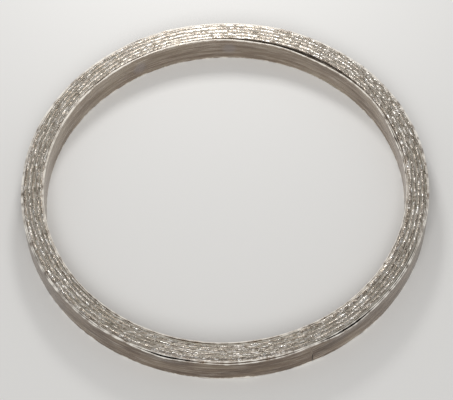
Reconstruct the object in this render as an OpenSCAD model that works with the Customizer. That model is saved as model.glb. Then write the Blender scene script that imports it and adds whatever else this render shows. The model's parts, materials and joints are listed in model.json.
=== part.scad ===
// Exhaust ring gasket, spiral wound: one steel strip and one mica filler strip
// are wound together, clockwise from the bore to the rim, between a steel band
// that lines the bore and one that holds the rim. Both ends of the steel strip
// lie at the seam, and the filler tapers away past them.
// Millimetres, +Z up, origin at the centre of the lower sealing face.

/* [Ring] */
// Diameter of the bore that the gas passes through
bore_d = 64; // [40:0.5:110]
// Height of the ring between its two sealing faces
ring_h = 5.6; // [3:0.1:10]
// Direction of the seam, where the steel strip starts and ends, from +X
seam_angle = 291; // [0:1:359]

/* [Bands] */
// Thickness of the bands at the bore and at the rim
band_t = 0.4; // [0.36:0.02:1]
// Clearance between a band and the end of the strip beside it
band_clearance = 0.06; // [0.02:0.01:0.2]

/* [Steel strip] */
// Thickness of the steel strip
strip_t = 0.2; // [0.1:0.01:0.4]
// Turns of the steel strip
strip_turns = 4; // [3:1:8]
// Angle that each end of the steel strip stops short of the filler that passes it
end_clearance = 0.2; // [0.1:0.1:1]

/* [Filler strip] */
// Thickness of the filler strip between two turns of steel
filler_t = 0.5; // [0.2:0.01:1]
// Clearance between the filler and the steel on each side of it
filler_clearance = 0.01; // [0.01:0.01:0.03]
// How far the filler stands proud of the steel's edges
filler_proud = 0.06; // [0.04:0.02:0.3]
// Angle between the seam and each thin end of the filler
filler_end = 45; // [30:5:90]

/* [Hidden] */
$fn = 180;

steel_h = ring_h - 2 * filler_proud;
// The strip moves out by this much in each half turn
growth = (strip_t + filler_t + 2 * filler_clearance) / 2;
last_half = 2 * strip_turns - 1;
band_outer_r = bore_d / 2 + band_t;
rim_inner_r = band_outer_r + 2 * band_clearance + 2 * strip_turns * growth + strip_t;
// Reaches past the rim, to cut sectors
beyond = 2 * rim_inner_r;

// The winding is a spiral of half turns about two centres on the X axis: each
// half turn has a wider radius than the last and runs on from it smoothly.
// Radii of the steel's two faces on a half turn
function inner_r(half) = band_outer_r + band_clearance + growth / 2 + half * growth;
function outer_r(half) = inner_r(half) + strip_t;
// Even half turns share one centre, and odd ones the other
function centre_x(half) = (half % 2 - 0.5) * growth;
function start_angle(half) = 180 * (half % 2);

// Turns the winding clockwise and brings its ends to the seam
module wound() {
    rotate([0, 0, seam_angle])
        mirror([0, 1, 0])
            children();
}

// One half turn of a strip, from its section, with its start or its end cut back by an angle.
// The end that isn't cut is the one that the sweep starts from, so that it meets the next half turn exactly.
module half_turn(half, start_cut = 0, end_cut = 0) {
    translate([centre_x(half), 0, 0])
        rotate([0, 0, start_angle(half)])
            mirror([start_cut > 0 ? 1 : 0, 0, 0])
                rotate_extrude(angle = 180 - start_cut - end_cut)
                    children();
}

// Closed band of steel, with its wall between two radii
module band(inside_r, outside_r) {
    rotate_extrude()
        translate([inside_r, filler_proud])
            square([outside_r - inside_r, steel_h]);
}

// Piece of filler in the space between two circles that aren't concentric, over a range of directions
module filler_wedge(outer_x, outer_radius, inner_x, inner_radius, from, to) {
    linear_extrude(ring_h)
        intersection() {
            difference() {
                translate([outer_x, 0])
                    circle(r = outer_radius - filler_clearance);
                translate([inner_x, 0])
                    circle(r = inner_radius + filler_clearance);
            }
            polygon(concat([[0, 0]], [
                for (step = [0 : 6])
                    let (angle = from + (to - from) * step / 6)
                        [beyond * cos(angle), beyond * sin(angle)]
            ]));
        }
}

// Steel band that lines the bore, closed with a butt weld
module bore_band() {
    color("silver")
        band(bore_d / 2, band_outer_r);
}

// Steel strip, wound from its inner end to its outer end
module steel_strip() {
    color("silver")
        wound()
            for (half = [0 : last_half])
                half_turn(half, half == 0 ? end_clearance : 0, half == last_half ? end_clearance : 0)
                    translate([inner_r(half), filler_proud])
                        square([strip_t, steel_h]);
}

// Mica filler strip: a thin end that thickens on the bore band, turns between the steel, and a thin end under the rim band
module filler_strip() {
    color("darkkhaki")
        wound() {
            filler_wedge(centre_x(0), inner_r(0), 0, band_outer_r, filler_end, 180);
            filler_wedge(centre_x(1), inner_r(1), 0, band_outer_r, 180, 360);
            for (half = [0 : last_half - 2])
                half_turn(half)
                    translate([outer_r(half) + filler_clearance, 0])
                        square([filler_t, ring_h]);
            filler_wedge(0, rim_inner_r, centre_x(last_half - 1), outer_r(last_half - 1), 0, 180);
            filler_wedge(0, rim_inner_r, centre_x(last_half), outer_r(last_half), 180, 360 - filler_end);
        }
}

// Steel band that holds the rim, closed with a butt weld
module rim_band() {
    color("silver")
        band(rim_inner_r, rim_inner_r + band_t);
}

bore_band();
steel_strip();
filler_strip();
rim_band();
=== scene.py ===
import json
import math

import bmesh
import bpy
from mathutils import Matrix, Vector, noise


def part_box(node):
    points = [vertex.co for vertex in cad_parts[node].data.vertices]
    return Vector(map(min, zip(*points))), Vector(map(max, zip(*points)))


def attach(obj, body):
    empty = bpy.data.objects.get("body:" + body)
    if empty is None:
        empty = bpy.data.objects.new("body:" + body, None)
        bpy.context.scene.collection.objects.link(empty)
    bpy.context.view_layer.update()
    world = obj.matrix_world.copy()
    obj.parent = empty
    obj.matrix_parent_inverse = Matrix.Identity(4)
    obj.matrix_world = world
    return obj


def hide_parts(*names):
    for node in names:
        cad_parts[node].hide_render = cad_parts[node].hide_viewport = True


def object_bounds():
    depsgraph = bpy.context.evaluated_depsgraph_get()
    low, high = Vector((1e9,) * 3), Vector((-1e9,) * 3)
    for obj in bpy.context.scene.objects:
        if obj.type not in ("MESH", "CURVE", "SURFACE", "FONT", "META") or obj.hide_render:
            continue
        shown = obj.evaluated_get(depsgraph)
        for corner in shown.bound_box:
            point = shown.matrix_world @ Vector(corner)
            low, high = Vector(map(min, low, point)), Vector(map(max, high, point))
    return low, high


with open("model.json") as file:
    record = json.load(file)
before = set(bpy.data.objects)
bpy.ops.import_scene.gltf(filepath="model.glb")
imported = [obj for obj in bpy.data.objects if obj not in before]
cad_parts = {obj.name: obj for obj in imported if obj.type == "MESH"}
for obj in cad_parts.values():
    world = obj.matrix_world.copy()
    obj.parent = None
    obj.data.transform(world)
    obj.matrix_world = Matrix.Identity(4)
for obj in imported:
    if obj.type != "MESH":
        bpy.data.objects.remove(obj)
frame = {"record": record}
cad_low, cad_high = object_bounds()

# Bore band
# Two plies of thin rolled stainless sheet that line the bore, their ends butted at a joint in front.
# The winding is spot welded to them, and the inner ply's slit edge wanders and lifts off in places.
MM = 0.001


def in_mm(metres):
    # A length from the frame, to a thousandth of a millimetre
    return round(metres / MM, 3)


mounts = {mount["name"]: mount["dims"] for mount in frame["record"]["mounts"]}
band_low, band_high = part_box("bore_band")
BORE_R = mounts["bore"]["r_mm"]
RIM_R = mounts["rim"]["r_mm"]
MEAN_R = (BORE_R + RIM_R) / 2
BAND_OUTER_R = in_mm(band_high.x)
STEEL_LOW = in_mm(band_low.z)
STEEL_HIGH = in_mm(band_high.z)
STEEL_MIDDLE = (STEEL_LOW + STEEL_HIGH) / 2
PLY_T = 0.19
SHEET_CORNER = 0.05
# Heights that differ by less than LEVEL are the same, and so are points within MERGE_GAP of each other
LEVEL = 1e-5
MERGE_GAP = 0.0005
# Angles in radians: too small to matter, and enough for a sharp edge
ANGLE_SLACK = 0.001
SHARP = math.radians(60)


def towards(angle):
    return Vector((math.cos(angle), math.sin(angle), 0))


def empty_strip():
    # Each vertex of a strip keeps the angle that the strip has turned through, and its first height
    strip = bmesh.new()
    strip.verts.layers.float.new("turned")
    strip.verts.layers.float.new("height")
    return strip


def pour(source, target):
    # All of one mesh goes into the other
    held = bpy.data.meshes.new("held")
    source.to_mesh(held)
    source.free()
    target.from_mesh(held)
    bpy.data.meshes.remove(held)


def wind(inside, width, low, high, corner, start, sweep, steps_a_turn, rows=0, columns=0):
    # A strip on edge, made by spinning its section clockwise about the ring's axis, half a turn
    # at a time. Rows divide its walls, closer together near their ends, and columns its edges.
    strip = empty_strip()
    foot = low + corner
    wall_h = high - low - 2 * corner
    done = 0.0
    while sweep - done > ANGLE_SLACK:
        part = min(math.pi, sweep - done)
        stretch = empty_strip()
        turned = stretch.verts.layers.float["turned"]
        height = stretch.verts.layers.float["height"]
        side = towards(start - done)
        outline = [(0, low), (width, low), (width, high), (0, high)]
        corners = [stretch.verts.new(side * (inside + a) + Vector((0, 0, z))) for a, z in outline]
        stretch.faces.new(corners)
        bmesh.ops.bevel(stretch, geom=corners, offset=corner, offset_type="OFFSET", affect="VERTICES",
                        segments=2, profile=0.5, material=-1)
        bmesh.ops.delete(stretch, geom=list(stretch.faces), context="FACES_ONLY")
        climbs = [(e, abs(e.verts[0].co.z - e.verts[1].co.z)) for e in stretch.edges]
        walls = [e for e, climb in climbs if climb > wall_h / 2]
        edges = [e for e, climb in climbs if climb < LEVEL]
        if rows:
            made = bmesh.ops.subdivide_edges(stretch, edges=walls, cuts=rows)
            for v in [item for item in made["geom_inner"] if isinstance(item, bmesh.types.BMVert)]:
                share = (v.co.z - foot) / wall_h
                v.co.z = foot + wall_h * (1 - math.cos(math.pi * share)) / 2
        if columns:
            bmesh.ops.subdivide_edges(stretch, edges=edges, cuts=columns)
        steps = round(steps_a_turn * part / math.tau)
        bmesh.ops.spin(stretch, geom=list(stretch.verts) + list(stretch.edges), cent=(0, 0, 0),
                       axis=(0, 0, 1), angle=-part, steps=steps, use_merge=False)
        for v in stretch.verts:
            swept = start - done - math.atan2(v.co.y, v.co.x)
            v[turned] = done + (swept + ANGLE_SLACK) % math.tau - ANGLE_SLACK
            v[height] = v.co.z
        pour(stretch, strip)
        done += part
    return strip


def finished(strips, name, spread):
    # The stretches joined, the ends closed, and UV in millimetres along the strip and up its height.
    # The spread is the share of the distance from the bore that the UV's height takes in.
    strip = strips[0]
    for other in strips[1:]:
        pour(other, strip)
    turned = strip.verts.layers.float["turned"]
    height = strip.verts.layers.float["height"]
    bmesh.ops.remove_doubles(strip, verts=list(strip.verts), dist=MERGE_GAP)
    open_ends = [e for e in strip.edges if e.is_boundary]
    bmesh.ops.holes_fill(strip, edges=open_ends, sides=0)
    bmesh.ops.recalc_face_normals(strip, faces=list(strip.faces))
    uv = strip.loops.layers.uv.new("unrolled")
    for face in strip.faces:
        for loop in face.loops:
            far = loop.vert.co.xy.length - BORE_R
            loop[uv].uv = (loop.vert[turned] * MEAN_R, loop.vert[height] + spread * far)
    bmesh.ops.scale(strip, vec=(MM, MM, MM), verts=list(strip.verts))
    mesh = bpy.data.meshes.new(name)
    strip.to_mesh(mesh)
    strip.free()
    mesh.shade_smooth()
    mesh.set_sharp_from_angle(angle=SHARP)
    piece = bpy.data.objects.new(name, mesh)
    bpy.context.scene.collection.objects.link(piece)
    return piece


# Each seed is a line of its own through the noise
SEED_Y = 7.31
SEED_Z = 3.17


def wandering(along, line):
    # A line that wanders along a strip: its mean, then its waves, each with a size, a pitch and a seed
    offset, *waves = line
    for size, pitch, seed in waves:
        offset += size * noise.noise(Vector((along / pitch, seed * SEED_Y, seed * SEED_Z)))
    return offset


def ease(value, low, high):
    share = min(max((value - low) / (high - low), 0.0), 1.0)
    return share * share * (3 - 2 * share)


def around(angle, stretches):
    # The sum of some stretches of a band, each with a size, and a middle and a reach in degrees
    total = 0.0
    for size, middle, reach in stretches:
        apart = abs((math.degrees(angle) - middle + 180) % 360 - 180)
        total += size * ease(apart, reach, 0)
    return total


# A band's joint gapes in its lower half and is shut further up. Its ends move along to shut it, over
# JOINT_REACH, and lie alike because every other move fades out over CALM_REACH, both in radians.
JOINT_OPEN_Z = 2.0
JOINT_SHUT_Z = 3.4
JOINT_REACH = 0.02
CALM_REACH = 0.1


def ply(inside, radius, joint, gap, rows, steps_a_turn, edges):
    # One sheet of a band, from the joint round to it again, with its gap in radians.
    # The edges give how far up and how far out each point of the sheet moves.
    sweep = math.tau - gap
    strip = wind(inside, PLY_T, STEEL_LOW, STEEL_HIGH, SHEET_CORNER, joint, sweep, steps_a_turn, rows)
    turned = strip.verts.layers.float["turned"]
    for v in strip.verts:
        gone = v[turned]
        z = v.co.z
        ends = ease(gone, JOINT_REACH, 0) - ease(gone, sweep - JOINT_REACH, sweep)
        angle = joint - gone + gap / 2 * ease(z, JOINT_OPEN_Z, JOINT_SHUT_Z) * ends
        calm = ease(min(gone, sweep - gone), 0, CALM_REACH)
        rise, outward = edges(angle, gone * radius, z)
        place = towards(angle) * (v.co.xy.length + calm * outward)
        v.co = Vector((place.x, place.y, z + calm * rise))
    return strip


BORE_JOINT = math.radians(290)
BORE_GAP = 0.0014
BORE_ROWS = 9
BORE_STEPS = 540
# Heights from which the upper edge, the lower edge and the curled foot start to move
BORE_UPPER_Z = 2.6
BORE_LOWER_Z = 2.4
BORE_CURL_Z = 0.5
LINING_TOP = (0.0, (0.08, 7.0, 5), (0.05, 2.2, 6))
LINING_LOOSE = (0.0, (0.05, 11.0, 17))
LINING_SPRUNG = ((1.0, 62, 36), (0.7, 14, 20))
SPRUNG_OFF = (0.252, (0.28, 5.0, 7))
SPRUNG_DROP = 0.3
BACKING_TOP = (-0.12, (0.1, 5.0, 25), (0.06, 1.8, 26))
BACKING_SUNK = ((0.2, 262, 34), (0.9, 62, 38), (0.63, 14, 22))
BORE_FOOT = (0.0, (0.07, 8.0, 3), (0.03, 1.6, 4))
BORE_CURL = (0.03, (0.1, 4.0, 8))
BORE_WALL = (0.0, (0.02, 6.0, 14))
BORE_WALL_LEAN = 4


def bore_edges(along, z, raised, off):
    # Both plies: the upper edge as given, the lower edge curled into the bore, and the wall uneven
    up = ease(z, BORE_UPPER_Z, STEEL_HIGH)
    rise = up * raised + ease(z, BORE_LOWER_Z, STEEL_LOW) * wandering(along, BORE_FOOT)
    inward = up * off
    inward += ease(z, BORE_CURL_Z, STEEL_LOW) * max(wandering(along, BORE_CURL), 0)
    inward += wandering(along + BORE_WALL_LEAN * z, BORE_WALL)
    return rise, -inward


def lining_edges(angle, along, z):
    # The ply that shows, whose upper edge springs off into the bore, and drops where it does
    sprung = around(angle, LINING_SPRUNG)
    raised = wandering(along, LINING_TOP) - SPRUNG_DROP * sprung
    off = sprung * wandering(along, SPRUNG_OFF) + max(wandering(along, LINING_LOOSE), 0)
    return bore_edges(along, z, raised, off)


def backing_edges(angle, along, z):
    # The ply behind it, which sits low in front and where the lining springs off
    raised = wandering(along, BACKING_TOP) - around(angle, BACKING_SUNK)
    return bore_edges(along, z, raised, 0)


bore_plies = [
    ply(inside, BORE_R, BORE_JOINT, BORE_GAP, BORE_ROWS, BORE_STEPS, edges)
    for inside, edges in ((BORE_R, lining_edges), (BAND_OUTER_R - PLY_T, backing_edges))
]
bore_band = finished(bore_plies, "bore_band_sheet", 0)


def add(tree, kind, **settings):
    node = tree.nodes.new(kind)
    for name, value in settings.items():
        setattr(node, name, value)
    return node


def feed(tree, socket, value):
    # Another node's output is linked, and a plain value is set
    if isinstance(value, bpy.types.NodeSocket):
        tree.links.new(value, socket)
    else:
        socket.default_value = value


def new_finish(name):
    finish = bpy.data.materials.new(name)
    finish.use_nodes = True
    return finish, finish.node_tree, finish.node_tree.nodes["Principled BSDF"].inputs


def ramp(tree, source, stops):
    node = add(tree, "ShaderNodeValToRGB")
    elements = node.color_ramp.elements
    while len(elements) < len(stops):
        elements.new(0.5)
    for element, (place, colour) in zip(elements, stops):
        element.position = place
        element.color = (*colour, 1)
    feed(tree, node.inputs["Fac"], source)
    return node.outputs["Color"]


def greys(tree, source, *stops):
    return ramp(tree, source, [(place, (grey, grey, grey)) for place, grey in stops])


def stretched(tree, source, scale):
    node = add(tree, "ShaderNodeMapping")
    feed(tree, node.inputs["Scale"], scale)
    feed(tree, node.inputs["Vector"], source)
    return node.outputs["Vector"]


def stretched_noise(tree, source, scale, detail):
    cloud = add(tree, "ShaderNodeTexNoise")
    feed(tree, cloud.inputs["Scale"], 1)
    feed(tree, cloud.inputs["Detail"], detail)
    feed(tree, cloud.inputs["Vector"], stretched(tree, source, scale))
    return cloud.outputs["Fac"]


def mix(tree, share, first, second):
    # The mix node's two colours are its inputs 6 and 7, and the mixed colour is its output 2
    node = add(tree, "ShaderNodeMix", data_type="RGBA")
    feed(tree, node.inputs["Factor"], share)
    for socket, colour in ((node.inputs[6], first), (node.inputs[7], second)):
        feed(tree, socket, (*colour, 1) if isinstance(colour, tuple) else colour)
    return node.outputs[2]


def maths(tree, operation, *values, clamp=False):
    node = add(tree, "ShaderNodeMath", operation=operation, use_clamp=clamp)
    for socket, value in zip(node.inputs, values):
        feed(tree, socket, value)
    return node.outputs["Value"]


def vector_maths(tree, operation, first, second, result):
    node = add(tree, "ShaderNodeVectorMath", operation=operation)
    feed(tree, node.inputs[0], first)
    feed(tree, node.inputs[1], second)
    return node.outputs[result]


def short_of(tree, value, limit, fade):
    # 1 where the value falls short of the limit by the fade or more, and 0 past the limit
    return maths(tree, "DIVIDE", maths(tree, "SUBTRACT", limit, value), fade, clamp=True)


def bumped(tree, height, strength, distance):
    node = add(tree, "ShaderNodeBump")
    feed(tree, node.inputs["Strength"], strength)
    feed(tree, node.inputs["Distance"], distance)
    feed(tree, node.inputs["Height"], height)
    return node.outputs["Normal"]


def new_group(name, inputs, outputs):
    # A node group with sockets of the given kinds, the values that it is given and those that it puts out
    group = bpy.data.node_groups.new(name, "ShaderNodeTree")
    for direction, sockets in (("INPUT", inputs), ("OUTPUT", outputs)):
        for socket, kind in sockets.items():
            group.interface.new_socket(socket, in_out=direction, socket_type=f"NodeSocket{kind}")
    return group, add(group, "NodeGroupInput").outputs, add(group, "NodeGroupOutput").inputs


def placed(tree, group, **values):
    node = add(tree, "ShaderNodeGroup", node_tree=group)
    for name, value in values.items():
        feed(tree, node.inputs[name], value)
    return node.outputs


OLIVE_TINT = (0.3, 0.245, 0.16)
RUBBED = (0.72, 0.66, 0.57)
GLINTING = (0.8, 0.74, 0.66)
# A painted highlight along the slit edges, partly their own paler cut steel, starts at this distance from
# the middle of the sheet's height, broken by noise
SLIT_HIGHLIGHT_START = 2.9
SLIT_HIGHLIGHT_FADE = 0.2
SLIT_HIGHLIGHT_BREAK = 0.8


def rolled_sheet_group():
    # Rolled sheet: long streaks in three tones, a cloudy olive tint, rub marks, glints, and a mask of
    # painted highlight along the slit edges, which are partly paler cut steel.
    # Two of its noises are put out too, to break up what a material adds.
    group, given, result = new_group(
        "rolled_sheet",
        {"Vector": "Vector", "Dark": "Color", "Middle": "Color", "Light": "Color"},
        {"Color": "Color", "Glints": "Float", "Slit_highlight": "Float", "Gloss": "Float", "Relief": "Float",
         "Rubs": "Float", "Breaks": "Float"})
    unrolled = given["Vector"]
    streaks = stretched_noise(group, unrolled, scale=(0.06, 1.5, 1), detail=6)
    clouds = stretched_noise(group, unrolled, scale=(0.13, 0.35, 1), detail=3)
    rubs = stretched_noise(group, unrolled, scale=(0.22, 1.9, 1), detail=5)
    breaks = stretched_noise(group, unrolled, scale=(0.6, 0.4, 1), detail=4)
    glints = stretched_noise(group, unrolled, scale=(0.2, 3.4, 1), detail=5)
    glints = greys(group, glints, (0.56, 0), (0.65, 1))
    tone = maths(group, "MULTIPLY_ADD", streaks, 0.6, maths(group, "MULTIPLY", clouds, 0.45))
    colour = mix(group, greys(group, tone, (0.41, 0), (0.52, 1)), given["Dark"], given["Middle"])
    colour = mix(group, greys(group, tone, (0.52, 0), (0.66, 1)), colour, given["Light"])
    colour = mix(group, greys(group, clouds, (0.45, 0), (0.65, 0.25)), colour, OLIVE_TINT)
    colour = mix(group, greys(group, rubs, (0.6, 0), (0.68, 0.35)), colour, RUBBED)
    colour = mix(group, maths(group, "MULTIPLY", glints, 0.4), colour, GLINTING)
    axes = add(group, "ShaderNodeSeparateXYZ")
    feed(group, axes.inputs["Vector"], unrolled)
    # Painted highlight along the upper and lower slit edges, partly their own paler cut steel
    from_middle = maths(group, "ABSOLUTE", maths(group, "SUBTRACT", axes.outputs["Y"], STEEL_MIDDLE))
    from_middle = maths(group, "MULTIPLY_ADD", breaks, SLIT_HIGHLIGHT_BREAK, from_middle)
    slit_highlight = maths(group, "DIVIDE", maths(group, "SUBTRACT", from_middle, SLIT_HIGHLIGHT_START), SLIT_HIGHLIGHT_FADE, clamp=True)
    slit_highlight = maths(group, "MULTIPLY", slit_highlight, greys(group, breaks, (0.36, 0.3), (0.58, 1)))
    feed(group, result["Color"], colour)
    feed(group, result["Glints"], glints)
    feed(group, result["Slit_highlight"], slit_highlight)
    feed(group, result["Gloss"], greys(group, streaks, (0.3, 0.18), (0.7, 0.34)))
    feed(group, result["Relief"], maths(group, "ADD", streaks, rubs))
    feed(group, result["Rubs"], rubs)
    feed(group, result["Breaks"], breaks)
    return group


rolled_sheet = rolled_sheet_group()
# A painted highlight on the lip along the lower edge: its height, and how softly it ends along the sheet
LIP_HIGHLIGHT_H = 0.85
LIP_HIGHLIGHT_FADE = 0.15
LIP_HIGHLIGHT_BREAK = 0.9
LIP_HIGHLIGHT_SOFT = 1.6
WELD_R = 2.3
WELD_FADE = 0.9
WELD_BREAK = 1.2
WELD_SHARE = 0.6
WELD_GREY = (0.42, 0.38, 0.37)
SLIT_HIGHLIGHT_ROUGH = (0.6, 0.6, 0.6)


def lip_highlight(tree, unrolled, breaks, place, reach):
    # A painted highlight on the flared lip along the lower edge
    axes = add(tree, "ShaderNodeSeparateXYZ")
    feed(tree, axes.inputs["Vector"], unrolled)
    beside = maths(tree, "ABSOLUTE", maths(tree, "SUBTRACT", axes.outputs["X"], place))
    beside = maths(tree, "DIVIDE", beside, reach / LIP_HIGHLIGHT_SOFT)
    inside = maths(tree, "SUBTRACT", LIP_HIGHLIGHT_SOFT, beside, clamp=True)
    ragged = maths(tree, "MULTIPLY_ADD", breaks, LIP_HIGHLIGHT_BREAK, axes.outputs["Y"])
    return maths(tree, "MULTIPLY", inside, short_of(tree, ragged, LIP_HIGHLIGHT_H, LIP_HIGHLIGHT_FADE))


def weld(tree, unrolled, rubs, place, height):
    far = vector_maths(tree, "DISTANCE", unrolled, (place, height, 0), "Value")
    ragged = maths(tree, "MULTIPLY_ADD", rubs, WELD_BREAK, far)
    return maths(tree, "MULTIPLY", short_of(tree, ragged, WELD_R, WELD_FADE), WELD_SHARE)


def band_finish(name, dark, middle, light, highlight_colour, welds=(), lip_highlights=()):
    # Rolled sheet with a painted highlight along its slit edges, which are partly paler cut steel,
    # painted highlights on its lips and grey weld spots where it has them.
    # A lip highlight has a place along the sheet and a reach, and a weld a place along it and a height.
    finish, tree, shader = new_finish(name)
    unrolled = add(tree, "ShaderNodeUVMap", uv_map="unrolled").outputs["UV"]
    sheet = placed(tree, rolled_sheet, Vector=unrolled, Dark=(*dark, 1), Middle=(*middle, 1),
                   Light=(*light, 1))
    highlight_mask = sheet["Slit_highlight"]
    for place, reach in lip_highlights:
        highlight_mask = maths(tree, "MAXIMUM", highlight_mask, lip_highlight(tree, unrolled, sheet["Breaks"], place, reach))
    colour = mix(tree, highlight_mask, sheet["Color"], highlight_colour)
    for place, height in welds:
        colour = mix(tree, weld(tree, unrolled, sheet["Rubs"], place, height), colour, WELD_GREY)
    # Painted glints and highlights are made less metallic, so that they stay pale whatever they reflect
    dull = maths(tree, "MULTIPLY", sheet["Glints"], 0.15)
    dull = maths(tree, "MAXIMUM", dull, maths(tree, "MULTIPLY", highlight_mask, 0.7))
    feed(tree, shader["Base Color"], colour)
    feed(tree, shader["Metallic"], maths(tree, "SUBTRACT", 1, dull))
    feed(tree, shader["Roughness"], mix(tree, highlight_mask, sheet["Gloss"], SLIT_HIGHLIGHT_ROUGH))
    feed(tree, shader["Normal"], bumped(tree, sheet["Relief"], strength=0.35, distance=0.04 * MM))
    return finish


# Two spot welds at the back of the bore, each at an angle turned through from the joint, and a height
BORE_WELDS = ((3.543 * MEAN_R, 2.9), (3.002 * MEAN_R, 2.6))
# The warm brown of these tones is partly the steel's own tint and partly painted reflection of brown
# surroundings
bore_finish = band_finish("bore_band_steel", dark=(0.28, 0.225, 0.18), middle=(0.37, 0.305, 0.25),
                          light=(0.52, 0.455, 0.39), highlight_colour=(0.9, 0.85, 0.77), welds=BORE_WELDS)
bore_band.data.materials.append(bore_finish)
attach(bore_band, "root")
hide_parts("bore_band")

# Steel strip
# One thin stainless strip, slit to width and wound on edge, clockwise from the seam at the bore
# band to the seam at the rim band. Only its slit edges show, between the turns of filler.
SEAM = math.radians(291)
STRIP_T = 0.2
STRIP_TURNS = 4
STRIP_ROWS = 3
STRIP_STEPS = 480
# Angle in radians by which each end stops short of the seam
STRIP_CUT = 0.0035
BAND_CLEARANCE = 0.06
RIM_INNER_R = RIM_R - (BAND_OUTER_R - BORE_R)
# The strip moves out by this much in each half turn
GROWTH = (RIM_INNER_R - BAND_OUTER_R - 2 * BAND_CLEARANCE - STRIP_T) / (2 * STRIP_TURNS)
# A strip is wound on this radius first, and then moved out or in to its place
WINDING_R = 33
STRIP_UPPER_Z = 3.2
STRIP_LOWER_Z = 2.4
STRIP_TOP = (-0.02, (0.05, 4.0, 21), (0.05, 1.5, 22))
STRIP_FOOT = (0.02, (0.05, 5.0, 23), (0.05, 1.6, 24))


def strip_r(turned):
    # Distance of the strip's inner face from the ring's axis: half turns about two centres
    half = min(max(int(turned / math.pi), 0), 2 * STRIP_TURNS - 1)
    off = (half % 2 - 0.5) * GROWTH
    radius = BAND_OUTER_R + BAND_CLEARANCE + GROWTH / 2 + half * GROWTH
    return off * math.cos(turned) + math.sqrt(radius ** 2 - (off * math.sin(turned)) ** 2)


strip = wind(WINDING_R, STRIP_T, STEEL_LOW, STEEL_HIGH, SHEET_CORNER, SEAM - STRIP_CUT,
             STRIP_TURNS * math.tau - 2 * STRIP_CUT, STRIP_STEPS, rows=STRIP_ROWS)
turned = strip.verts.layers.float["turned"]
for v in strip.verts:
    from_seam = v[turned] + STRIP_CUT
    along = v[turned] * MEAN_R
    rise = ease(v.co.z, STRIP_UPPER_Z, STEEL_HIGH) * wandering(along, STRIP_TOP)
    rise += ease(v.co.z, STRIP_LOWER_Z, STEEL_LOW) * wandering(along, STRIP_FOOT)
    place = towards(SEAM - from_seam) * (strip_r(from_seam) + v.co.xy.length - WINDING_R)
    v.co = Vector((place.x, place.y, v.co.z + rise))
steel = finished([strip], "steel_winding", 0)
# These tones are darker than the bands' same sheet: painted shade of the narrow gaps between the turns of
# filler, where the strip's edges show
strip_finish = band_finish("wound_strip_steel", dark=(0.13, 0.12, 0.09), middle=(0.22, 0.2, 0.15),
                           light=(0.34, 0.31, 0.25), highlight_colour=(0.45, 0.42, 0.36))
steel.data.materials.append(strip_finish)
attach(steel, "root")
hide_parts("steel_strip")

# Filler strip
# One strip of pressed mica and vermiculite, wound with the steel and a little proud of its edges.
# Its cut edges are crumbly, with bright flakes and dark grains, and split into layers.
RING_H = in_mm(cad_high.z)
FILLER_END = math.radians(45)
FILLER_CLEARANCE = 0.01
FILLER_CORNER = 0.06
FILLER_COLUMNS = 5
FILLER_STEPS = 900
# The pressed edge is smeared out over the steel beside it, from this height up
SMEAR_Z = 5.3
SMEAR_SIZE = 0.13
SMEAR_MEAN = 0.25
SMEAR_PITCH = 1.3
SMEAR_SEED = 9.0
# The cut faces, which lie above and below these heights, are worn down and lie a little low at their sides
UPPER_FACE_Z = 5
LOWER_FACE_Z = 0.5
WORN = 0.03
SIDE_WORN = 0.08
SIDE_SHARPNESS = 6
# Their grain is two sizes of noise, chips and layers, each with a size and then a pitch
FINE_GRAIN = (0.018, 0.3)
COARSE_GRAIN = (0.03, 0.8)
CHIPS = (0.012, 0.42)
LAYERS = (0.022, 0.1)
LAYERS_A_RADIAN = 2.4
LAYER_SEED = 5.0


def face_grain(point, along, across):
    grain = FINE_GRAIN[0] * noise.noise(point / FINE_GRAIN[1])
    grain += COARSE_GRAIN[0] * noise.noise(point / COARSE_GRAIN[1])
    grain += CHIPS[0] * (noise.cell(point / CHIPS[1]) - 0.5)
    layer = Vector((along * LAYERS_A_RADIAN, across / LAYERS[1], LAYER_SEED))
    return grain + LAYERS[0] * noise.noise(layer)


# Its width is 1 at first, so that a vertex's distance across it is a share of the space that it fills
strip = wind(WINDING_R, 1, 0, RING_H, FILLER_CORNER, SEAM - FILLER_END,
             (STRIP_TURNS + 1) * math.tau - 2 * FILLER_END, FILLER_STEPS, columns=FILLER_COLUMNS)
turned = strip.verts.layers.float["turned"]
for v in strip.verts:
    along = v[turned] + FILLER_END
    share = v.co.xy.length - WINDING_R
    turn = min(int(along / math.tau), STRIP_TURNS)
    lower = BAND_OUTER_R if turn == 0 else strip_r(along - math.tau) + STRIP_T
    upper = RIM_INNER_R if turn == STRIP_TURNS else strip_r(along)
    lower += FILLER_CLEARANCE
    upper -= FILLER_CLEARANCE
    across = share * (upper - lower)
    smear = SMEAR_MEAN + noise.noise(Vector((along * MEAN_R / SMEAR_PITCH, share, SMEAR_SEED)))
    smear = SMEAR_SIZE * ease(v.co.z, SMEAR_Z, RING_H) * max(smear, 0)
    place = towards(SEAM - along) * (lower + across + smear * (2 * share - 1))
    v.co = Vector((place.x, place.y, v.co.z))
    rough = face_grain(v.co, along, across) - WORN - SIDE_WORN * abs(2 * share - 1) ** SIDE_SHARPNESS
    if v.co.z > UPPER_FACE_Z:
        v.co.z += rough
    elif v.co.z < LOWER_FACE_Z:
        v.co.z += max(-rough, 0)
filler = finished([strip], "mica_filler", 1)


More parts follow.
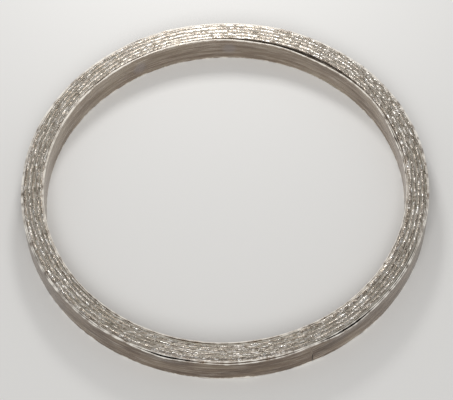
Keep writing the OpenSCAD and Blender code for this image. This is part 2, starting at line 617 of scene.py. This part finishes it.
def speckle_group():
    # Small cells of random brightness, each a flat facet with its own tilt
    group, given, result = new_group(
        "speckle",
        {"Vector": "Vector", "Scale": "Float"},
        {"Shade": "Float", "Spread": "Float", "Height": "Float"})
    cells = add(group, "ShaderNodeTexVoronoi")
    feed(group, cells.inputs["Vector"], given["Vector"])
    feed(group, cells.inputs["Scale"], given["Scale"])
    split = add(group, "ShaderNodeSeparateColor")
    feed(group, split.inputs["Color"], cells.outputs["Color"])
    from_middle = vector_maths(group, "SUBTRACT", given["Vector"], cells.outputs["Position"], "Vector")
    tilt = vector_maths(group, "SUBTRACT", cells.outputs["Color"], (0.5, 0.5, 0.5), "Vector")
    feed(group, result["Shade"], split.outputs["Red"])
    feed(group, result["Spread"], split.outputs["Green"])
    feed(group, result["Height"], vector_maths(group, "DOT_PRODUCT", from_middle, tilt, "Value"))
    return group


MICA_TONES = [
    (0.1, (0.2, 0.165, 0.13)),
    (0.4, (0.36, 0.31, 0.26)),
    (0.65, (0.5, 0.45, 0.395)),
    (0.9, (0.85, 0.83, 0.8)),
]
MICA_OLIVE = (0.3, 0.25, 0.18)
# Flakes are drawn out along the strip, by cells to a millimetre, and grains and patches go by the metre
FLAKE_SCALE = (1.1, 3.6, 1)
GRAIN_SCALE = 6000
PATCH_SCALE = (220, 220, 220)
# A flake's facet is measured in cells and a grain's in metres, and these make both a height in metres
FLAKE_HEIGHT = 0.00016
GRAIN_HEIGHT = 0.7


def mica_finish():
    # Pressed mica: long bright flakes, fine grains between them, and patches of an olive tint
    finish, tree, shader = new_finish("pressed_mica")
    place = add(tree, "ShaderNodeTexCoord").outputs["Object"]
    unrolled = add(tree, "ShaderNodeUVMap", uv_map="unrolled").outputs["UV"]
    speckle = speckle_group()
    flakes = placed(tree, speckle, Vector=stretched(tree, unrolled, FLAKE_SCALE), Scale=1)
    grains = placed(tree, speckle, Vector=place, Scale=GRAIN_SCALE)
    patches = stretched_noise(tree, place, PATCH_SCALE, detail=3)
    shade = maths(tree, "MULTIPLY", grains["Shade"], 0.45)
    shade = maths(tree, "MULTIPLY_ADD", flakes["Shade"], 0.55, shade)
    olive = greys(tree, patches, (0.4, 0), (0.7, 0.35))
    feed(tree, shader["Base Color"], mix(tree, olive, ramp(tree, shade, MICA_TONES), MICA_OLIVE))
    feed(tree, shader["Metallic"], greys(tree, shade, (0.2, 0.8), (0.8, 0.95)))
    feed(tree, shader["Roughness"], greys(tree, flakes["Spread"], (0, 0.24), (1, 0.42)))
    relief = maths(tree, "MULTIPLY", grains["Height"], GRAIN_HEIGHT)
    relief = maths(tree, "MULTIPLY_ADD", flakes["Height"], FLAKE_HEIGHT, relief)
    feed(tree, shader["Normal"], bumped(tree, relief, strength=0.3, distance=1))
    return finish


filler.data.materials.append(mica_finish())
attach(filler, "root")
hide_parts("filler_strip")

# Rim band
# Two plies of the same sheet around the winding, their ends butted at an upright joint in front.
# The outer ply's edges wander, sit lower than the face in front, and lift and flare in places.
RIM_JOINT_DEG = 292.5
RIM_JOINT = math.radians(RIM_JOINT_DEG)
RIM_GAP = 0.005
RIM_ROWS = 11
RIM_STEPS = 600
# Heights from which the upper edge, the lower edge and the flared foot start to move
RIM_UPPER_Z = 3.4
RIM_LOWER_Z = 1.8
RIM_FLARE_Z = 0.45
HOOP_TOP = (-0.05, (0.07, 6.0, 29), (0.07, 0.9, 30))
HOOP_FOOT = (0.04, (0.06, 6.0, 31))
JACKET_TOP = (-0.12, (0.14, 6.0, 9), (0.09, 1.7, 10))
JACKET_SUNK = ((0.4, 273, 24),)
JACKET_FOOT = (0.02, (0.1, 7.0, 11), (0.05, 1.9, 12))
JACKET_LIFTED = ((0.3, 253, 9), (0.26, 303, 15))
JACKET_LOOSE = (0.0, (0.12, 9.0, 13))
JACKET_FLARED = ((1.0, 270, 11), (1.0, RIM_JOINT_DEG, 5))
FLARED_LOOSE = (0.0, (0.4, 8.0, 15))
FLARE_SIZE = (0.176, (0.22, 2.6, 18))
# Dents: their size, their pitch along the sheet and up it, and their seed
SHALLOW_DENTS = (0.03, 4, 0.9, 3.3)
RUBBED_DENTS = (0.05, 2.5, 0.6, 8.1)
JACKET_RUBBED = ((1.0, 268, 8),)


def dents(along, z, size, pitch_along, pitch_up, seed):
    return size * noise.noise(Vector((along / pitch_along, z / pitch_up, seed)))


def rim_rise(along, z, raised, foot):
    rise = ease(z, RIM_UPPER_Z, STEEL_HIGH) * raised
    return rise + ease(z, RIM_LOWER_Z, STEEL_LOW) * wandering(along, foot)


def hoop_edges(angle, along, z):
    # The ply next to the winding, which only shows at its edges
    return rim_rise(along, z, wandering(along, HOOP_TOP), HOOP_FOOT), 0


def jacket_edges(angle, along, z):
    # The ply that shows, which sits low in front, lifts off at its upper edge and flares at its foot
    raised = wandering(along, JACKET_TOP) - around(angle, JACKET_SUNK)
    lifted = around(angle, JACKET_LIFTED) + max(wandering(along, JACKET_LOOSE), 0)
    flared = around(angle, JACKET_FLARED) + max(wandering(along, FLARED_LOOSE), 0)
    outward = ease(z, RIM_UPPER_Z, STEEL_HIGH) * lifted
    outward += ease(z, RIM_FLARE_Z, STEEL_LOW) * flared * wandering(along, FLARE_SIZE)
    outward += dents(along, z, *SHALLOW_DENTS)
    outward += around(angle, JACKET_RUBBED) * dents(along, z, *RUBBED_DENTS)
    return rim_rise(along, z, raised, JACKET_FOOT), outward


rim_plies = [
    ply(inside, RIM_R, RIM_JOINT, RIM_GAP, RIM_ROWS, RIM_STEPS, edges)
    for inside, edges in ((RIM_INNER_R, hoop_edges), (RIM_R - PLY_T, jacket_edges))
]
rim_band = finished(rim_plies, "rim_band_sheet", 0)
# Places and reaches of painted highlights on the flared lips along the rim's lower edge
RIM_LIP_HIGHLIGHTS = ((13.0, 7.5), (0.8, 2.6), (212.8, 1.6))
# The rim's tones are darker and browner than the bore's, though it is the same sheet: painted shade and
# painted reflection of brown surroundings
rim_finish = band_finish("rim_band_steel", dark=(0.165, 0.125, 0.096), middle=(0.235, 0.18, 0.14),
                         light=(0.4, 0.33, 0.27), highlight_colour=(0.9, 0.86, 0.79), lip_highlights=RIM_LIP_HIGHLIGHTS)
rim_band.data.materials.append(rim_finish)
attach(rim_band, "root")
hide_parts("rim_band")

# Floor
# A plain pale sheet under the ring, which takes its shadow.
FLOOR_REACH = 1.5
sheet = bmesh.new()
bmesh.ops.create_grid(sheet, x_segments=1, y_segments=1, size=FLOOR_REACH)
mesh = bpy.data.meshes.new("floor")
sheet.to_mesh(mesh)
sheet.free()
floor = bpy.data.objects.new("floor", mesh)
bpy.context.scene.collection.objects.link(floor)
floor_finish, floor_tree, shader = new_finish("pale_floor")
feed(floor_tree, shader["Base Color"], (0.8, 0.79, 0.77, 1))
feed(floor_tree, shader["Roughness"], 0.9)
floor.data.materials.append(floor_finish)

# Light
# A small lamp stands close behind and above the ring, and a wide soft one in front of it, further off.
# The room fills in the rest.
ROOM_STRENGTH = 0.36


def soft_lamp(name, place, aim, size, watts):
    lamp = bpy.data.lights.new(name, "AREA")
    lamp.shape = "SQUARE"
    lamp.size = size
    lamp.energy = watts
    holder = bpy.data.objects.new(name, lamp)
    holder.location = place
    holder.rotation_euler = (Vector(aim) - Vector(place)).to_track_quat("-Z", "Y").to_euler()
    bpy.context.scene.collection.objects.link(holder)


soft_lamp("back_lamp", place=(-0.004, 0.095, 0.084), aim=(0, 0.034, 0.005), size=0.03, watts=0.051)
soft_lamp("front_lamp", place=(-0.03, -0.4, 0.52), aim=(0, 0, 0), size=0.4, watts=2.0)
world = bpy.data.worlds.new("room")
bpy.context.scene.world = world
world.use_nodes = True
room = world.node_tree.nodes["Background"].inputs
room["Color"].default_value = (1, 1, 1, 1)
room["Strength"].default_value = ROOM_STRENGTH

# Camera
# It looks down on the ring from the front, a little turned about its own axis.
# Its focal length in pixels goes with the picture's width in pixels.
ELEVATION = math.radians(56.85)
ROLL = math.radians(-1.93)
AIM = Vector((0.209, 0.115, 0)) * MM
DISTANCE = 357.8 * MM
PICTURE_PX = 453
FOCAL_PX = 2000
SENSOR_W = 36
back = Vector((0, -math.cos(ELEVATION), math.sin(ELEVATION)))
level = Vector((1, 0, 0))
upright = back.cross(level)
right = level * math.cos(ROLL) + upright * math.sin(ROLL)
upward = upright * math.cos(ROLL) - level * math.sin(ROLL)
camera = bpy.data.cameras.new("camera")
camera.sensor_width = SENSOR_W
camera.lens = SENSOR_W * FOCAL_PX / PICTURE_PX
camera.clip_start = 0.01
eye = bpy.data.objects.new("camera", camera)
spot = AIM + back * DISTANCE
eye.matrix_world = Matrix((
    (right.x, upward.x, back.x, spot.x),
    (right.y, upward.y, back.y, spot.y),
    (right.z, upward.z, back.z, spot.z),
    (0, 0, 0, 1),
))
bpy.context.scene.collection.objects.link(eye)
bpy.context.scene.camera = eye
bpy.context.scene.view_settings.view_transform = "Standard"
